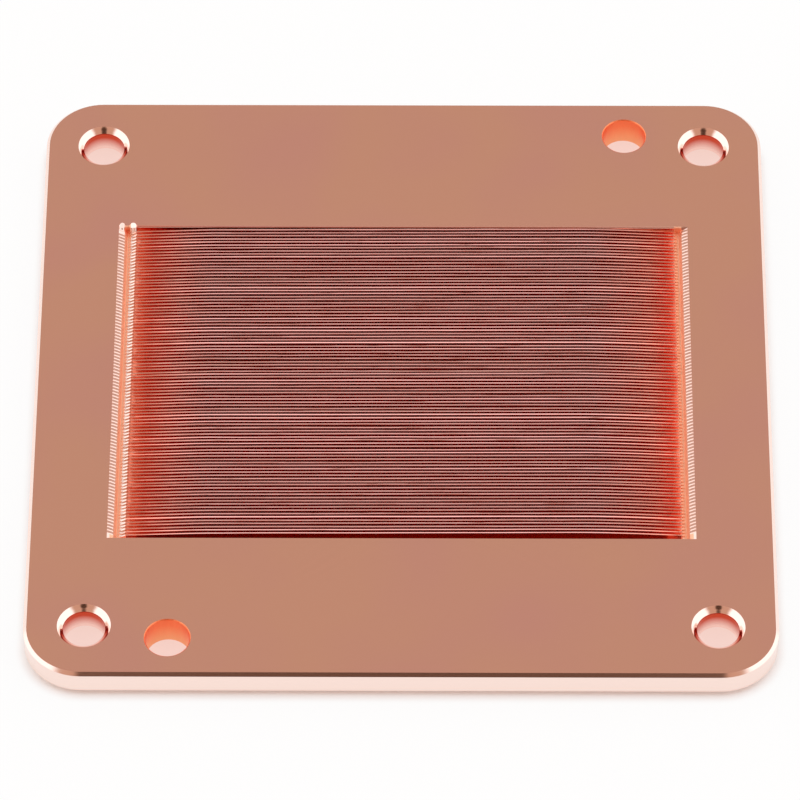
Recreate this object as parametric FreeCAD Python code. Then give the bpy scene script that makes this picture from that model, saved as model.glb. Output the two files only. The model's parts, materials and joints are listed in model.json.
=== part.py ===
import FreeCAD, Part
import math
import os

# Cold plate of a liquid cooler: one piece of copper. The plate is blanked and milled square,
# drilled, and its middle is skived into upright fins that stay part of the plate. Coolant runs
# along the channels between the fins, and the plain underside sits on the chip.
# Millimetres. Origin at the centre of the underside, +X along the fins, +Y across them,
# +Z up to the finned face, which is also the sealing face.

Vector = FreeCAD.Vector

# Plate
plate_length = 57.5            # along X
plate_width = 57.5             # along Y
plate_thickness = 2.6
plate_corner_radius = 4.5
face_edge_chamfer = 0.25       # round the finned face
base_edge_chamfer = 0.6        # round the underside

# Corner screw holes, M3 clearance, countersunk at 45 degrees on both faces
screw_edge_distance = 4.625    # from the plate's edges to each hole's axis
screw_bore = 3.2
screw_countersink = 4.1        # across the mouth of each countersink

# Two plain dowel holes on one diagonal, each beside a corner hole
dowel_bore = 3.4
dowel_edge_distance = 3.5      # from the plate's front or rear edge to the hole's axis
dowel_from_screw = 6.375       # along X from the corner hole's axis
dowel_edge_break = 0.08        # deburred rim at both faces

# Fin field, a rectangle centred on the plate
field_length = 45.3            # along the fins
fin_count = 98
fin_pitch = 0.315
fin_thickness = 0.13
front_gap = 0.53               # first cut of the skiving tool, between the front wall and the fins
channel_depth = 1.6            # from the sealing face to the channel floor
fin_setback = 0.05             # fin tops below the sealing face

# Ends of the field: a shallow end wall, a groove, and the noses in which the fins rise from it
end_wall_run = 0.5             # along X, from the sealing face down
end_wall_drop = 0.25
groove_side_run = 0.2          # steep side of the groove, below the end wall
groove_flat = 0.2              # bottom of the groove
groove_depth = 0.65            # below the sealing face
nose_run_left = 0.6            # from the groove up to the fin's top
nose_run_right = 0.3
dip_run = 7.0                  # length over which a fin's top dips towards its nose
dip_drop = 0.3

# Ends of the channels: shallow across the nose, then a step, then a ramp down to full depth
channel_nose_depth = 0.1       # below the top of the nose
channel_step_run = 0.1
channel_start_depth = 0.55     # below the sealing face, at the foot of the step
channel_ramp_run = 5.0

# Worked out from the values above
sealing_face = plate_thickness
screw_x = plate_length / 2 - screw_edge_distance
screw_y = plate_width / 2 - screw_edge_distance
dowel_x = screw_x - dowel_from_screw
dowel_y = plate_width / 2 - dowel_edge_distance
channel_width = fin_pitch - fin_thickness
field_width = front_gap + fin_count * fin_pitch
field_front = -field_width / 2
fin_top = sealing_face - fin_setback
nose_top = fin_top - dip_drop
groove_outer = field_length / 2 - end_wall_run - groove_side_run
groove_inner = groove_outer - groove_flat
nose_left = groove_inner - nose_run_left      # from the middle to where the nose ends
nose_right = groove_inner - nose_run_right
tool_clearance = 1.0           # cutting solids stand this far out of the metal


def rounded_block():
    """The milled blank, with round corners and both rims chamfered."""
    block = Part.makeBox(plate_length, plate_width, plate_thickness,
                         Vector(-plate_length / 2, -plate_width / 2, 0))
    corners = [edge for edge in block.Edges if abs(edge.tangentAt(edge.FirstParameter).z) > 0.5]
    block = block.makeFillet(plate_corner_radius, corners)
    face_rim = [edge for edge in block.Edges if edge.CenterOfMass.z > sealing_face * 0.99]
    block = block.makeChamfer(face_edge_chamfer, face_rim)
    base_rim = [edge for edge in block.Edges if edge.CenterOfMass.z < sealing_face * 0.01]
    return block.makeChamfer(base_edge_chamfer, base_rim)


def hole(x, y, bore, mouth):
    """A drill-shaped cutter through the plate, opening at 45 degrees to the mouth at each face."""
    depth = (mouth - bore) / 2
    radius = bore / 2
    outside = mouth / 2 + tool_clearance
    profile = [
        (0, -tool_clearance),
        (outside, -tool_clearance),
        (radius, depth),
        (radius, sealing_face - depth),
        (outside, sealing_face + tool_clearance),
        (0, sealing_face + tool_clearance),
    ]
    points = [Vector(r, 0, z) for r, z in profile]
    outline = Part.makePolygon(points + points[:1])
    cutter = Part.Face(outline).revolve(Vector(0, 0, 0), Vector(0, 0, 1), 360)
    cutter.translate(Vector(x, y, 0))
    return cutter


def screw_holes():
    """The four corner holes."""
    return [hole(side_x * screw_x, side_y * screw_y, screw_bore, screw_countersink)
            for side_x in (-1, 1) for side_y in (-1, 1)]


def dowel_holes():
    """The two holes on the diagonal from front left to rear right."""
    mouth = dowel_bore + 2 * dowel_edge_break
    return [hole(side * dowel_x, side * dowel_y, dowel_bore, mouth) for side in (-1, 1)]


def dip_arc(x_end, x_flat):
    """Edge along a fin's top from the nose to where it runs level, tangent to the level there."""
    run = x_flat - x_end
    radius = (run ** 2 + dip_drop ** 2) / (2 * dip_drop)

    def on_arc(share):
        distance = share * run
        drop = radius - math.sqrt(radius ** 2 - distance ** 2)
        return Vector(x_flat - distance, 0, fin_top - drop)

    return Part.Arc(on_arc(1.0), on_arc(0.5), on_arc(0.0)).toShape()


def lines(*points):
    """Straight edges from point to point, each point given as x and z."""
    corners = [Vector(x, 0, z) for x, z in points]
    return [Part.makeLine(start, end) for start, end in zip(corners, corners[1:])]


def profile_face(edges):
    """The face inside a closed run of edges."""
    return Part.Face(Part.Wire(Part.__sortEdges__(edges)))


def fin_top_cutter():
    """Everything above the fins: their dipped tops, their noses, the end grooves and end walls."""
    top = sealing_face + tool_clearance
    wall_x = field_length / 2
    wall_foot_x = wall_x - end_wall_run
    wall_foot_z = sealing_face - end_wall_drop
    groove_z = sealing_face - groove_depth
    flat_left = dip_run - nose_left
    flat_right = nose_right - dip_run

    edges = lines((-wall_x, top), (-wall_x, sealing_face), (-wall_foot_x, wall_foot_z),
                  (-groove_outer, groove_z), (-groove_inner, groove_z), (-nose_left, nose_top))
    edges.append(dip_arc(-nose_left, flat_left))
    edges += lines((flat_left, fin_top), (flat_right, fin_top))
    edges.append(dip_arc(nose_right, flat_right))
    edges += lines((nose_right, nose_top), (groove_inner, groove_z), (groove_outer, groove_z),
                   (wall_foot_x, wall_foot_z), (wall_x, sealing_face), (wall_x, top), (-wall_x, top))
    cutter = profile_face(edges).extrude(Vector(0, field_width, 0))
    cutter.translate(Vector(0, field_front, 0))
    return cutter


def channel_profile():
    """Section of every channel along X, from groove to groove."""
    top = sealing_face + tool_clearance
    groove_z = sealing_face - groove_depth
    step_z = nose_top - channel_nose_depth
    start_z = sealing_face - channel_start_depth
    floor_z = sealing_face - channel_depth
    start_left = channel_step_run - nose_left
    start_right = nose_right - channel_step_run
    floor_left = start_left + channel_ramp_run
    floor_right = start_right - channel_ramp_run

    return profile_face(lines(
        (-groove_inner, top), (-groove_inner, groove_z), (-nose_left, step_z), (start_left, start_z),
        (floor_left, floor_z), (floor_right, floor_z), (start_right, start_z), (nose_right, step_z),
        (groove_inner, groove_z), (groove_inner, top), (-groove_inner, top)))


def channel_cutters():
    """One cutter for each channel. The front one is as wide as the tool's first cut."""
    profile = channel_profile()
    cutters = []
    for number in range(fin_count + 1):
        first = number == 0
        width = front_gap if first else channel_width
        front = 0 if first else front_gap + number * fin_pitch - channel_width
        cutter = profile.extrude(Vector(0, width, 0))
        cutter.translate(Vector(0, field_front + front, 0))
        cutters.append(cutter)
    return cutters


def cold_plate():
    """The finished plate."""
    plate = rounded_block()
    plate = plate.cut(screw_holes() + dowel_holes())
    plate = plate.cut(fin_top_cutter())
    plate = plate.cut(channel_cutters())
    return plate.removeSplitter().Solids[0]


os.makedirs("parts", exist_ok=True)
cold_plate().exportStep("parts/cold_plate.step")
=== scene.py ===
import json
import math

import bpy
import numpy as np
from mathutils import Matrix, Vector


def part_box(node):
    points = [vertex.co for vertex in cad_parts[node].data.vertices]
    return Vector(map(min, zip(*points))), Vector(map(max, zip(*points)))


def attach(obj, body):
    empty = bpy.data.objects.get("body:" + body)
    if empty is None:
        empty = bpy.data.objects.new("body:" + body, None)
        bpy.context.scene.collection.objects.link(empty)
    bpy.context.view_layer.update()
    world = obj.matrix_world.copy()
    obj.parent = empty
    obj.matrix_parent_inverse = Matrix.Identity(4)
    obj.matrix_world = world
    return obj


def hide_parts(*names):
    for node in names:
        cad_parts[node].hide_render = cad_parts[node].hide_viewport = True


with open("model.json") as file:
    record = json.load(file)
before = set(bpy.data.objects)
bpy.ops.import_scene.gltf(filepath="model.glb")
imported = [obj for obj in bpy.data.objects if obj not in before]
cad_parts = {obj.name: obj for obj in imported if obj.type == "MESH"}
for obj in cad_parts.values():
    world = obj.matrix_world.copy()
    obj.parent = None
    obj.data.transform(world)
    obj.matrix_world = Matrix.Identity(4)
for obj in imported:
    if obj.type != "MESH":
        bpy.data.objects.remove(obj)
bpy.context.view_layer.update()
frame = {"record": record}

# THE BLANK. One square of oxygen-free copper, milled on its sides, with round corners and a 45 degree
# chamfer round each face. Everything after this is cut into it, so the finished plate is one piece.

MM = 0.001
low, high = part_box("cold_plate")
face = high.z                        # the finned sealing face
size = high - low
corner_radius = 4.5 * MM
face_chamfer = 0.25 * MM
base_chamfer = 0.6 * MM
hair = 0.001 * MM                    # nearer than this is the same place
fresh_copper_hex = "#FCE3D9"


def linear(hex_colour):
    """An sRGB hex colour as the linear RGBA that shaders take."""
    channels = [int(hex_colour[start:start + 2], 16) / 255 for start in (1, 3, 5)]
    return [c / 12.92 if c <= 0.04045 else ((c + 0.055) / 1.055) ** 2.4 for c in channels] + [1.0]


def add_node(tree, kind, settings=None, **inputs):
    """Adds a node, sets its settings, and sets or links each input. An input goes by its name with
    underscores for spaces, or by an underscore and its number."""
    node = tree.nodes.new(kind)
    for name, value in (settings or {}).items():
        setattr(node, name, value)
    for name, value in inputs.items():
        socket = node.inputs[int(name[1:])] if name[0] == "_" else node.inputs[name.replace("_", " ")]
        if isinstance(value, bpy.types.NodeSocket):
            tree.links.new(value, socket)
        else:
            socket.default_value = value
    return node


def copper(name, colour_hex, roughness, grain_mm, grain_stretch, roughness_spread, bump_mm, turning_to=None):
    """Bare copper with a cutting grain, stretched along the tool's way. It may turn to another colour
    between two distances from the origin along an axis, which paints light or shade into it, or in clouds
    of uneven tone. Real tool marks are a hundredth of a millimetre wide, too fine to show, so each grain
    is drawn about ten times as coarse as it is."""
    material = bpy.data.materials.new(name)
    material.use_nodes = True
    tree = material.node_tree
    tree.nodes.clear()
    place = add_node(tree, "ShaderNodeTexCoord")
    turned = add_node(tree, "ShaderNodeMapping", Vector=place.outputs["Object"], Scale=grain_stretch)
    grain = add_node(tree, "ShaderNodeTexNoise", Vector=turned.outputs[0], Scale=1 / (grain_mm * MM),
                     Detail=3.0, Roughness=0.6)
    rough = add_node(tree, "ShaderNodeMapRange", Value=grain.outputs[0],
                     To_Min=roughness - roughness_spread, To_Max=roughness + roughness_spread)
    bump = add_node(tree, "ShaderNodeBump", Height=grain.outputs[0], Distance=bump_mm * MM, Strength=1.0)
    colour = linear(colour_hex)
    # a turn along an axis is painted light or shade; a turn in clouds is uneven tone
    if turning_to:
        other_hex, axis, start, stop = turning_to
        if axis == "clouds":
            cloud_size = 9 * MM
            where = add_node(tree, "ShaderNodeTexNoise", Vector=place.outputs["Object"],
                             Scale=1 / cloud_size, Detail=1.0).outputs[0]
        else:
            apart = add_node(tree, "ShaderNodeVectorMath", {"operation": "ABSOLUTE"},
                             _0=place.outputs["Object"])
            where = add_node(tree, "ShaderNodeSeparateXYZ", Vector=apart.outputs[0]).outputs[axis]
        amount = add_node(tree, "ShaderNodeMapRange", Value=where, From_Min=start, From_Max=stop)
        colour = add_node(tree, "ShaderNodeMix", {"data_type": "RGBA"}, _0=amount.outputs[0], _6=colour,
                          _7=linear(other_hex)).outputs[2]
    shader = add_node(tree, "ShaderNodeBsdfPrincipled", Base_Color=colour, Metallic=1.0,
                      Roughness=rough.outputs[0], Normal=bump.outputs[0])
    add_node(tree, "ShaderNodeOutputMaterial", Surface=shader.outputs[0])
    return material


def pick(piece, kind, wanted):
    """Selects the vertices, edges or polygons of a piece that the test wants, and stays in edit mode."""
    bpy.ops.object.mode_set(mode="EDIT")
    bpy.ops.mesh.select_mode(type={"vertices": "VERT", "edges": "EDGE", "polygons": "FACE"}[kind])
    bpy.ops.mesh.select_all(action="DESELECT")
    bpy.ops.object.mode_set(mode="OBJECT")
    for part in getattr(piece.data, kind):
        part.select = bool(wanted(part))
    bpy.ops.object.mode_set(mode="EDIT")


def ends(piece, edge):
    """The two end points of an edge."""
    return [piece.data.vertices[index].co for index in edge.vertices]


def at_level(piece, z):
    """A test for edges that lie at one height."""
    return lambda edge: all(abs(end.z - z) < hair for end in ends(piece, edge))


bpy.ops.object.select_all(action="DESELECT")
bpy.ops.mesh.primitive_cube_add(size=1, location=(low + high) / 2, scale=size)
plate = bpy.context.object
plate.name = "cold_plate_copper"
bpy.ops.object.transform_apply(location=True, rotation=True, scale=True)
pick(plate, "edges", lambda edge: abs(ends(plate, edge)[0].z - ends(plate, edge)[1].z) > size.z / 2)
bpy.ops.mesh.bevel(offset=corner_radius, offset_type="OFFSET", segments=16, affect="EDGES")
for level, chamfer in ((face, face_chamfer), (0.0, base_chamfer)):
    pick(plate, "edges", at_level(plate, level))
    bpy.ops.mesh.bevel(offset=chamfer, offset_type="OFFSET", segments=1, affect="EDGES")
# both faces come off for now, and go back on round the holes and the fin field
for level in (face, 0.0):
    pick(plate, "polygons", lambda part: abs(part.center.z - level) < hair and abs(part.normal.z) > 0.9)
    bpy.ops.mesh.delete(type="ONLY_FACE")
bpy.ops.object.mode_set(mode="OBJECT")

# milled with a sharp cutter, and freshly cut: pale pink and bright, with the tent a little blurred in it
milled = copper("copper_milled", fresh_copper_hex, 0.16, 0.08, (1, 1, 0.2), 0.03, 0.0004)
plate.data.materials.append(milled)

# THE HOLES. Four corner holes for M3 screws, drilled, reamed and countersunk on both faces, and two
# plain drilled holes for dowels on one diagonal, with only their rims broken.

mounts = {mount["name"]: mount for mount in frame["record"]["mounts"]}
screws = mounts["corner_screws"]["dims"]
dowels = mounts["dowel_holes"]["dims"]
screw_countersink = 0.45 * MM
screw_foot = 0.12 * MM               # the reamer rounded the edge between countersink and bore
dowel_edge_break = 0.08 * MM
dowel_foot = 0.05 * MM
dowel_from_screw = 6.375 * MM        # along X from the corner hole's axis
dowel_edge_distance = 3.5 * MM       # from the plate's front or rear edge to the hole's axis
dowel_turn = math.atan2(size.y / 2 - dowel_edge_distance, screws["spacing_x_mm"] / 2 * MM - dowel_from_screw)
cone_share = 0.72                    # of a countersink's depth lies above its rounded foot
crown_share = 0.026                  # of its depth is how far its cone is crowned


def hole_wall(x, y, radius, flare, foot, mouth_metal, bore_metal):
    """The wall of a hole. It opens at 45 degrees at both faces, and at the upper one its cone is
    slightly crowned and rounds into the bore over a foot."""
    crown = flare * crown_share
    rings = []
    for down in np.linspace(0, cone_share, 5):
        out = crown * 4 * down / cone_share * (1 - down / cone_share) / math.sqrt(2)
        rings.append((radius + flare * (1 - down) - out, face - flare * down + out))
    foot_z = face - flare - foot * (math.sqrt(2) - 1)
    for tilt in np.radians(np.linspace(45, 0, 6)):
        rings.append((radius + foot * (1 - math.cos(tilt)), foot_z + foot * math.sin(tilt)))
    rings += [(radius, flare), (radius + flare, 0.0)]
    bpy.ops.object.select_all(action="DESELECT")
    bpy.ops.mesh.primitive_circle_add(vertices=64, radius=rings[0][0], location=(x, y, rings[0][1]))
    wall = bpy.context.object
    wall.data.materials.append(mouth_metal)
    wall.data.materials.append(bore_metal)
    bpy.ops.object.mode_set(mode="EDIT")
    bpy.ops.mesh.select_all(action="SELECT")
    for (from_radius, from_z), (to_radius, to_z) in zip(rings, rings[1:]):
        bpy.ops.mesh.extrude_edges_move(TRANSFORM_OT_translate={"value": (0, 0, to_z - from_z)})
        grow = to_radius / from_radius
        bpy.ops.transform.resize(value=(grow, grow, 1), center_override=(x, y, to_z))
    bpy.ops.object.mode_set(mode="OBJECT")
    bpy.ops.object.transform_apply(location=True, rotation=False, scale=False)
    bore_top = face - flare + 0.3 * foot
    for polygon in wall.data.polygons:
        polygon.material_index = int(flare < polygon.center.z < bore_top)
    return wall


# cut in one sweep of the countersink: nearly a mirror, with the tent's lights and darks sharp in it
countersunk = copper("copper_countersunk", fresh_copper_hex, 0.1, 0.1, (1, 1, 1), 0.02, 0.0004)
# reamed smooth: pale below, where it mirrors the table, and painted red above, standing in for light thrown
# wall to wall
bored_with_painted_light = copper("copper_bored", "#FFEDE8", 0.2, 0.1, (1, 1, 0.5), 0.04, 0.001,
               ("#CE553C", "Z", 0.65 * MM, 1.75 * MM))
# drilled and not reamed: rough, so the light that bounces round the hole comes out orange, and painted deeper
# orange towards the top for that bounced light
drilled_with_painted_glow = copper("copper_drilled", "#FFBC8C", 0.38, 0.4, (1, 1, 0.3), 0.12, 0.04,
                 ("#FF9062", "Z", 0.3 * MM, 1.9 * MM))

cut_walls = []
for side_x in (-1, 1):
    for side_y in (-1, 1):
        x = side_x * screws["spacing_x_mm"] / 2 * MM
        y = side_y * screws["spacing_y_mm"] / 2 * MM
        cut_walls.append(hole_wall(x, y, screws["hole_r_mm"] * MM, screw_countersink, screw_foot,
                                   countersunk, bored_with_painted_light))
for side in (-1, 1):
    x = side * dowels["pcd_mm"] / 2 * math.cos(dowel_turn) * MM
    y = side * dowels["pcd_mm"] / 2 * math.sin(dowel_turn) * MM
    cut_walls.append(hole_wall(x, y, dowels["hole_r_mm"] * MM, dowel_edge_break, dowel_foot,
                               drilled_with_painted_glow, drilled_with_painted_glow))

# THE FIN FIELD. A skiving blade shaves 98 fins up out of the plate and leaves them standing on it. Their
# tops dip towards both ends and turn down in a nose. Across a groove from the noses is a sloped end wall,
# striped by the blade: a bright sheared strip in line with each fin, and a scraped one between, painted dull
# as shade.

field_length = 45.3 * MM
field_width = 31.4 * MM
fin_count = 98
fin_pitch = 0.3145 * MM
fin_thickness = 0.12 * MM
fin_edge_round = 0.03 * MM
fin_setback = 0.05 * MM              # fin tops below the sealing face
front_gap = 0.53 * MM                # the blade's first cut, in front of the first fin
channel_depth = 1.6 * MM
end_wall_run = 0.47 * MM
end_wall_drop = 0.25 * MM
scraped_run = 0.1 * MM               # a scraped strip starts with a steeper piece, of this run
scraped_drop = 0.08 * MM             # and this drop
groove_side_run = 0.22 * MM
groove_flat = 0.1 * MM
groove_depth = 0.65 * MM
corner_ease = 0.06 * MM              # half the run over which a corner of the profiles is rounded
skew = 0.0049                        # the blade ran a quarter of a degree off square
front_round = 0.02 * MM
rear_round = 0.12 * MM               # the last cut drew the rear wall's top edge over
# the left end, where the blade came in, and the right end, where it left, differ a little
nose_runs = (0.6 * MM, 0.25 * MM)
dip_runs = (6.0 * MM, 7.7 * MM)
dip_drops = (0.25 * MM, 0.38 * MM)
dip_bends = (1.2, 1.6)               # the power of the dip's curve
channel_start_depths = (0.48 * MM, 0.55 * MM)
ramp_runs = (5.9 * MM, 3.0 * MM)
first_ramp_runs = (2.4 * MM, 2.0 * MM)
# how the fins scatter, in millimetres: the spread, and the most that it may be
lift_spread, lift_most = 0.012, 0.03
tilt_spread, tilt_most = 0.010, 0.02
shift_spread = 0.009
wave_heights = (0.001, 0.003)
wave_lengths = (0.8, 4.0)            # each over 2 pi
burr_spread = 0.001
scatter_run = 1.5 * MM               # the scatter fades out over this towards both ends
# at the left the last cut ran out into the rear face in two scoops, over the end wall and over the nose
scoops = ((0.25 * MM, 0.21 * MM), (1.12 * MM, 0.25 * MM))      # distance from the left end, half width
scoop_reach = 0.3 * MM               # how far they reach into the face
scoop_slope = math.tan(math.radians(18))
scoop_side_drop = 0.35 * MM          # how far their sides fall away over the fins
scoop_over_fins = 0.5 * MM           # how far from their rim they cut the fins
scoop_zone = 0.7 * MM                # all that they touch is nearer to the rear wall than this

# the stations along the field, in millimetres from each end, are close together where its profile bends
end_steps = [0, 0.06, 0.12, 0.2, 0.3, 0.4, 0.47, 0.54, 0.6, 0.66, 0.72, 0.8, 0.88, 0.94, 1.0, 1.06, 1.12,
             1.18, 1.24, 1.3, 1.36, 1.44, 1.5, 1.56, 1.62, 1.7, 1.9, 2.2, 2.6, 3.1, 3.7, 4.4, 5.1, 5.9,
             6.7, 7.6]
middle_from = 8.4 * MM
middle_count = 32
half = field_length / 2
from_end = [step * MM for step in end_steps]
middle = np.linspace(-half + middle_from, half - middle_from, middle_count)
stations = np.concatenate([[-half + d for d in from_end], middle, [half - d for d in reversed(from_end)]])
lines = [0.0]
for number in range(fin_count):
    lines.append(front_gap + number * fin_pitch)
    lines.append(front_gap + number * fin_pitch + fin_thickness)
lines.append(field_width)
lines = np.array(lines) - field_width / 2

bpy.ops.object.select_all(action="DESELECT")
columns, rows = len(stations) - 1, len(lines) - 1
bpy.ops.mesh.primitive_grid_add(x_subdivisions=columns, y_subdivisions=rows, size=1)
field = bpy.context.object
floor_z = face - channel_depth
for vertex in field.data.vertices:
    column = round((vertex.co.x + 0.5) * columns)
    row = round((vertex.co.y + 0.5) * rows)
    vertex.co = (stations[column], lines[row], floor_z)


def on_fin(part):
    """Every second strip is a fin."""
    return np.searchsorted(lines, part.center.y) % 2 == 0 and abs(part.center.x) < half - from_end[1]


pick(field, "polygons", on_fin)
bpy.ops.mesh.extrude_region_move(TRANSFORM_OT_translate={"value": (0, 0, channel_depth)})
# the field's front and rear edges rise to the face as well, with steps for their rounded rims
pick(field, "edges", lambda edge: all(abs(abs(end.y) - field_width / 2) < hair for end in ends(field, edge)))
rim_steps = 5
bpy.ops.mesh.extrude_edges_move(TRANSFORM_OT_translate={"value": (0, 0, channel_depth / 2)})
for _ in range(rim_steps):
    bpy.ops.mesh.extrude_edges_move(TRANSFORM_OT_translate={"value": (0, 0, channel_depth / 2 / rim_steps)})


def top_edge(edge):
    """One of the two long top edges of a fin."""
    start, end = ends(field, edge)
    level = abs(start.z - face) < hair and abs(end.z - face) < hair
    return level and abs(start.y - end.y) < hair and abs(start.y) < field_width / 2 - hair


# the blade rounds each fin's top edges
pick(field, "edges", top_edge)
bpy.ops.mesh.bevel(offset=fin_edge_round, offset_type="OFFSET", segments=2, affect="EDGES")
bpy.ops.object.mode_set(mode="OBJECT")

nose_start = end_wall_run + groove_side_run + groove_flat


def end_profile(inwards, scraped_strip):
    """Height of an end wall and its groove, below the face."""
    groove_start = end_wall_run + groove_side_run
    runs = [0, end_wall_run, groove_start, nose_start]
    drops = [0, -end_wall_drop, -groove_depth, -groove_depth]
    if scraped_strip:
        runs.insert(1, scraped_run)
        drops.insert(1, -scraped_drop)
    return np.interp(inwards, runs, drops)


def top_profile(x):
    """Height of end wall, groove, nose and fin tops along the field."""
    height = np.zeros_like(x)
    for end, side in enumerate((-1, 1)):
        inwards = half - side * x
        nose_top = nose_start + nose_runs[end]
        reach = np.clip((nose_top + dip_runs[end] - inwards) / dip_runs[end], 0, 1)
        fins = -fin_setback - dip_drops[end] * reach ** dip_bends[end]
        nose = np.interp(inwards, [nose_start, nose_top], [-groove_depth, -fin_setback - dip_drops[end]])
        outer = np.where(inwards < nose_start, end_profile(inwards, scraped_strip=False), nose)
        height = np.where(inwards < nose_top, outer, np.where(inwards < half, fins, height))
    return face + height


def channel_profile(x, runs, scraped_strip):
    """Height of end wall, groove and channel floor along the field, with the floor's ramps."""
    height = np.full_like(x, -channel_depth)
    for end, side in enumerate((-1, 1)):
        inwards = half - side * x
        nose_top = nose_start + nose_runs[end]
        start_depth = channel_start_depths[end]
        reach = np.clip((nose_top + runs[end] - inwards) / runs[end], 0, 1)
        ramp = -channel_depth + (channel_depth - start_depth) * reach ** 2
        nose = np.interp(inwards, [nose_start, nose_top], [-groove_depth, -start_depth])
        outer = np.where(inwards < nose_start, end_profile(inwards, scraped_strip), nose)
        height = np.where(inwards < nose_top, outer, np.where(inwards < half, ramp, height))
    return face + height


def eased(profile, x, *extra):
    """A profile with its corners rounded, and its ends kept in the sealing face."""
    shifts = np.linspace(-corner_ease, corner_ease, 7)
    rounded = sum(profile(x + shift, *extra) for shift in shifts) / len(shifts)
    return np.where(np.abs(x) > half - hair, face, rounded)


co = np.empty(len(field.data.vertices) * 3)
field.data.vertices.foreach_get("co", co)
co = co.reshape(-1, 3)
x, y = co[:, 0].copy(), co[:, 1].copy()
share = (co[:, 2] - floor_z) / channel_depth
in_field = np.abs(y) < field_width / 2 - hair
at_rear = y > field_width / 2 - hair
in_first = y < -field_width / 2 + front_gap + hair
top = eased(top_profile, x)
bottom = np.where(in_first, eased(channel_profile, x, first_ramp_runs, False),
                  eased(channel_profile, x, ramp_runs, True))

# each fin has its own height, lean, place and waves, and a fine burr along its top; both its edges
# count to it, and the rear one lies more than a fifth of a pitch behind the front one
draw = np.random.default_rng(7)
pitches = (y + field_width / 2 - front_gap) / fin_pitch
number = np.clip((pitches + 0.3).astype(int), 0, fin_count - 1)
behind = (pitches - number) > 0.2
inside = np.clip((half - np.abs(x)) / scatter_run, 0, 1)
fin_lift = draw.normal(0, lift_spread, fin_count).clip(-lift_most, lift_most) * MM
fin_tilt = draw.normal(0, tilt_spread, fin_count).clip(-tilt_most, tilt_most) * MM
fin_shift = draw.normal(0, shift_spread, fin_count) * MM
wave = 0
for _ in range(3):
    height = draw.uniform(*wave_heights, fin_count)[number] * MM
    length = draw.uniform(*wave_lengths, fin_count)[number]
    start = draw.uniform(0, 6.28, fin_count)[number]
    wave = wave + height * np.sin(x / MM / length + start)
burr = draw.normal(0, burr_spread, len(x)) * MM
rise = (fin_lift[number] + fin_tilt[number] * behind + wave) * inside + burr * (inside > 0)
raised = in_field & (share > 0.5)
co[:, 2] = bottom + share * (top - bottom) + np.where(raised, rise, 0)
co[:, 1] += np.where(raised, (fin_shift[number] + wave) * inside, 0) + skew * x * in_field

# the scoops cut the last fins down to a slope that rises to their rim in the face
scoop = np.zeros_like(x)
for from_left, half_wide in scoops:
    across = (x + half - from_left) / half_wide
    scoop = np.maximum(scoop, np.sqrt(np.clip(1 - across ** 2, 0, 1)))
to_rim = field_width / 2 + scoop * scoop_reach - y
run_out = face - to_rim * scoop_slope - (1 - scoop) * scoop_side_drop
over_fins = in_field & (scoop > 0) & (to_rim < scoop_over_fins)
co[:, 2] = np.where(over_fins, np.maximum(co[:, 2], run_out), co[:, 2])

# front and rear wall stand straight, with rounded rims, and the rear one leans out into the scoops
climb = np.clip(2 * share - 1, 0, 1) * math.pi / 2
radius = np.where(at_rear, rear_round, front_round) * (np.abs(x) < half - hair)
at_foot = share < 0.25
rim_z = face - np.where(at_foot, face - bottom, radius * (1 - np.sin(climb)))
co[:, 2] = np.where(in_field, co[:, 2], rim_z)
co[:, 1] -= np.where(at_rear, radius * np.where(at_foot, 1, np.cos(climb)), 0)
co[:, 1] += np.where(at_rear, scoop * scoop_reach * np.where(at_foot, 0, np.sin(climb)), 0)
on_scoop = at_rear & (scoop > 0)
below_rim = (field_width / 2 + scoop * scoop_reach - co[:, 1]) * scoop_slope
co[:, 2] = np.where(on_scoop, face - below_rim, co[:, 2])
field.data.vertices.foreach_set("co", co.ravel())

# skived, and smooth along the blade's way: dark red between the fins, and painted paler towards both ends, a
# painted glow where the ramps are
skived_with_painted_glow = copper("copper_skived", "#F3B6A6", 0.16, 0.12, (0.1, 1, 1), 0.03, 0.0003,
                ("#FAC7B6", "X", 15 * MM, 21 * MM))
# the fins' top edges, which the blade left last: fine pink lines, with a painted red glow where they bend to
# the noses
skived_tip_with_painted_glow = copper("copper_skived_tips", "#F4B3AA", 0.16, 0.12, (0.1, 1, 1), 0.03, 0.0003,
                    ("#FFA48E", "X", 15 * MM, 20 * MM))
# sheared in one clean pass: bright, pale pink strokes up the end walls
sheared = copper("copper_sheared", "#F4D0C4", 0.18, 0.08, (1, 1, 0.2), 0.03, 0.0004)
# scraped by the blade's heel: rough strokes between the bright ones, painted dark brown as shade
scraped_painted_shade = copper("copper_scraped", "#BE8E7C", 0.35, 0.1, (1, 1, 1), 0.08, 0.002)
# torn where the chip broke off in the groove: rough, a soft matt orange, made pale as painted light in the
# groove's shade
torn_with_painted_light = copper("copper_torn", "#FFC0A0", 0.5, 0.1, (1, 1, 1), 0.08, 0.003)
# painted shade: the deep part of the first channel is a darker, deeper red
first_cut_painted_shade = copper("copper_first_cut", "#DF8A64", 0.2, 0.12, (0.25, 1, 1), 0.04, 0.001)

torn_nose_left = 0.15 * MM           # the tearing goes this far up the left noses, and all up the right ones
tip_depth = 0.5 * MM                 # the fins' top edges all lie within this of the face
first_cut_edge = 0.02 * MM           # the first fin's front flank belongs to the first cut
first_torn_from = 0.25 * MM          # in the first cut even the end wall is torn, from here inwards
first_shade_from = 2.3 * MM         # and it is painted with shade from here inwards,
first_shade_depth = 0.1 * MM        # further than this below the face


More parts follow.
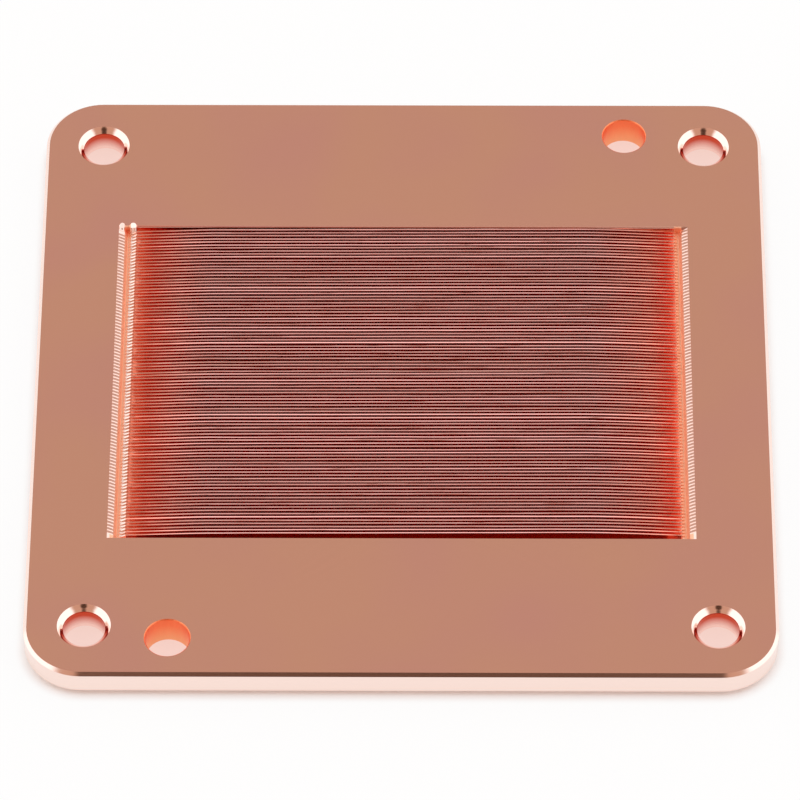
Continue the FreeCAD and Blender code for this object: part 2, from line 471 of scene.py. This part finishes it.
def finish_at(part):
    """The finish that the blade left on one polygon of the field, with painted light or shade on some
    finishes.
    """
    along, across, level = part.center
    right = int(along > 0)
    inwards = half - abs(along)
    nose_top = nose_start + nose_runs[right]
    torn_to = nose_top if right else nose_start + torn_nose_left
    fin_strip = np.searchsorted(lines, across - skew * along) % 2 == 0
    in_first_cut = across < -field_width / 2 + front_gap + skew * along + first_cut_edge
    in_scoop = across > field_width / 2 - scoop_zone and not right
    # deep in the first channel: painted shade
    if in_first_cut and inwards > first_shade_from and level < face - first_shade_depth:
        return first_cut_painted_shade
    if in_first_cut and first_torn_from < inwards < nose_top:
        return torn_with_painted_light
    if inwards > nose_top:
        on_top = part.normal.z > 0.3 and level > face - tip_depth and fin_strip
        # both fin finishes carry a painted glow towards the ends
        return skived_tip_with_painted_glow if on_top else skived_with_painted_glow
    if inwards < end_wall_run:
        # the scraped strips carry painted shade
        return sheared if fin_strip or in_first_cut or in_scoop else scraped_painted_shade
    return torn_with_painted_light if inwards < torn_to else milled


finishes = [skived_with_painted_glow, sheared, torn_with_painted_light, first_cut_painted_shade, skived_tip_with_painted_glow, scraped_painted_shade, milled]
for finish in finishes:
    field.data.materials.append(finish)
for polygon in field.data.polygons:
    polygon.material_index = finishes.index(finish_at(polygon))

# THE FINISHED PLATE. Field and holes are one surface with the blank, and both of its faces are lapped
# flat round them: the finned one to seal against the cover, the plain one to sit on the chip.

bpy.ops.object.select_all(action="DESELECT")
for part in [field] + cut_walls:
    part.select_set(True)
plate.select_set(True)
bpy.context.view_layer.objects.active = plate
bpy.ops.object.join()
bpy.ops.object.transform_apply(location=True, rotation=True, scale=True)
# corners that came to lie on each other, at the field's ends and along its front and rear rims, are merged
pick(plate, "vertices", lambda corner: abs(abs(corner.co.x) - half) < hair
     or abs(corner.co.y) > field_width / 2 - scoop_zone)
bpy.ops.mesh.remove_doubles(threshold=hair)
for level in (face, 0.0):
    pick(plate, "edges", at_level(plate, level))
    bpy.ops.mesh.fill(use_beauty=True)
bpy.ops.mesh.select_all(action="SELECT")
bpy.ops.mesh.normals_make_consistent(inside=False)
bpy.ops.object.mode_set(mode="OBJECT")

# lapped on fine abrasive, and begun to tan in the air: an even satin brown-pink, with faint clouds
lapped = copper("copper_lapped", "#F6B79E", 0.22, 0.25, (1, 1, 1), 0.03, 0.0004,
                ("#F4B2A2", "clouds", 0.4, 0.8))
plate.data.materials.append(lapped)
lapped_slot = len(plate.data.materials) - 1
for polygon in plate.data.polygons:
    in_face = all(min(abs(plate.data.vertices[v].co.z - face), abs(plate.data.vertices[v].co.z)) < hair
                  for v in polygon.vertices)
    if in_face and abs(polygon.normal.z) > 0.99:
        polygon.material_index = lapped_slot
bpy.ops.object.shade_smooth_by_angle(angle=math.radians(15))
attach(plate, "root")
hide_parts("cold_plate")

# THE STAGE. A white paper table in a white light tent. The tent is as bright from every side, but greyer
# high at the rear, where the lapped face looks, and brown in front, round the dark slot for the lens.

bpy.ops.mesh.primitive_plane_add(size=6, location=(0, 0, 0))
floor = bpy.context.object
floor.name = "floor"
own_light = 0.9                      # the share of the paper's white that it gives off by itself
shadow_start = -0.4 * MM             # from the plate's outline, outwards, the share rises from nothing
shadow_stop = 0.8 * MM               # to this far out, so that the paper keeps the plate's shadow
painted_under_glow = 0.8                    # the share of painted glow under the plate, seen through the holes
under_start = -1.4 * MM
under_stop = -0.8 * MM
# matt white paper, evenly bright, with a painted warm glow under the plate, standing in for the light that
# copper throws back on it
paper = bpy.data.materials.new("white_paper")
paper.use_nodes = True
tree = paper.node_tree
tree.nodes.clear()
path = add_node(tree, "ShaderNodeLightPath")
seen = add_node(tree, "ShaderNodeMath", {"operation": "MAXIMUM"}, _0=path.outputs["Is Camera Ray"],
                _1=path.outputs["Is Glossy Ray"])
place = add_node(tree, "ShaderNodeTexCoord")
mirrored = add_node(tree, "ShaderNodeVectorMath", {"operation": "ABSOLUTE"}, _0=place.outputs["Object"])
inner = (size.x / 2 - corner_radius, size.y / 2 - corner_radius, 0)
beyond = add_node(tree, "ShaderNodeVectorMath", {"operation": "SUBTRACT"}, _0=mirrored.outputs[0], _1=inner)
clipped = add_node(tree, "ShaderNodeVectorMath", {"operation": "MAXIMUM"}, _0=beyond.outputs[0], _1=(0, 0, 0))
reach = add_node(tree, "ShaderNodeVectorMath", {"operation": "LENGTH"}, _0=clipped.outputs[0])
outside = add_node(tree, "ShaderNodeMapRange", {"interpolation_type": "SMOOTHSTEP"},
                   Value=reach.outputs["Value"], From_Min=corner_radius + shadow_start,
                   From_Max=corner_radius + shadow_stop, To_Min=0.0, To_Max=own_light)
under = add_node(tree, "ShaderNodeMapRange", {"interpolation_type": "SMOOTHSTEP"},
                 Value=reach.outputs["Value"], From_Min=corner_radius + under_start,
                 From_Max=corner_radius + under_stop, To_Min=painted_under_glow, To_Max=0.0)
even = add_node(tree, "ShaderNodeMath", {"operation": "ADD"}, _0=outside.outputs[0], _1=under.outputs[0])
share_lit = add_node(tree, "ShaderNodeMath", {"operation": "MULTIPLY"}, _0=seen.outputs[0],
                     _1=even.outputs[0])
matt = add_node(tree, "ShaderNodeBsdfDiffuse", Color=linear("#FEFEFE"))
# a painted pink glow on the paper under the plate
painted_bounce_tint = add_node(tree, "ShaderNodeMix", {"data_type": "RGBA"}, _0=under.outputs[0], _6=(1, 1, 1, 1),
                  _7=linear("#FFD2C4"))
glow = add_node(tree, "ShaderNodeEmission", Color=painted_bounce_tint.outputs[2], Strength=1.0)
mixed = add_node(tree, "ShaderNodeMixShader", _0=share_lit.outputs[0], _1=matt.outputs[0], _2=glow.outputs[0])
add_node(tree, "ShaderNodeOutputMaterial", Surface=mixed.outputs[0])
floor.data.materials.append(paper)

tent_level = (1.33, 1.33, 1.33, 1)
brown_level = (0.62, 0.36, 0.26, 1)
high_at_rear = (0, 0.626, 0.78)
high_in_front = (0, -0.743, 0.669)
lens_slot = (0, -0.77, 0.64)
world = bpy.data.worlds.new("light_tent")
bpy.context.scene.world = world
world.use_nodes = True
tree = world.node_tree
tree.nodes.clear()
direction = add_node(tree, "ShaderNodeTexCoord")


def tent_patch(under, toward, core_degrees, edge_degrees, colour):
    """A soft-edged round patch of another brightness in the tent, round one direction."""
    nearness = add_node(tree, "ShaderNodeVectorMath", {"operation": "DOT_PRODUCT"},
                        _0=direction.outputs["Generated"], _1=Vector(toward).normalized())
    inside = add_node(tree, "ShaderNodeMapRange", {"interpolation_type": "SMOOTHSTEP"},
                      Value=nearness.outputs["Value"], From_Min=math.cos(math.radians(edge_degrees)),
                      From_Max=math.cos(math.radians(core_degrees)))
    patched = add_node(tree, "ShaderNodeMix", {"data_type": "RGBA"}, _0=inside.outputs[0], _6=under,
                       _7=colour)
    return patched.outputs[2]


tent = tent_patch(tent_level, high_at_rear, 20, 34, linear("#C4BCB4"))
tent = tent_patch(tent, high_in_front, 30, 46, brown_level)
tent = tent_patch(tent, lens_slot, 6, 13, linear("#543A2E"))
glow = add_node(tree, "ShaderNodeBackground", Color=tent, Strength=1.0)
add_node(tree, "ShaderNodeOutputWorld", Surface=glow.outputs[0])

# THE CAMERA. A long lens that looks from the front, a little over 50 degrees above the table, at a point
# just in front of the plate's middle. Light may bounce often, because it glows between the fins.

camera_data = bpy.data.cameras.new("camera")
camera = bpy.data.objects.new("camera", camera_data)
bpy.context.scene.collection.objects.link(camera)
camera_data.lens = 301.6
camera_data.clip_end = 20
turn, climb, roll = math.radians(0.395), math.radians(51.25), math.radians(-0.183)
distance = 523.3 * MM
aim = Vector((-0.177 * MM, -2.075 * MM, face))
tilt = math.pi / 2 - climb
stand = Matrix.Rotation(turn, 4, "Z") @ Matrix.Rotation(tilt, 4, "X") @ Matrix.Rotation(roll, 4, "Z")
camera.matrix_world = Matrix.Translation(aim + stand.to_3x3() @ Vector((0, 0, distance))) @ stand
bpy.context.scene.camera = camera
bpy.context.scene.view_settings.view_transform = "Standard"
bpy.context.scene.cycles.glossy_bounces = 12
bpy.context.scene.cycles.max_bounces = 16
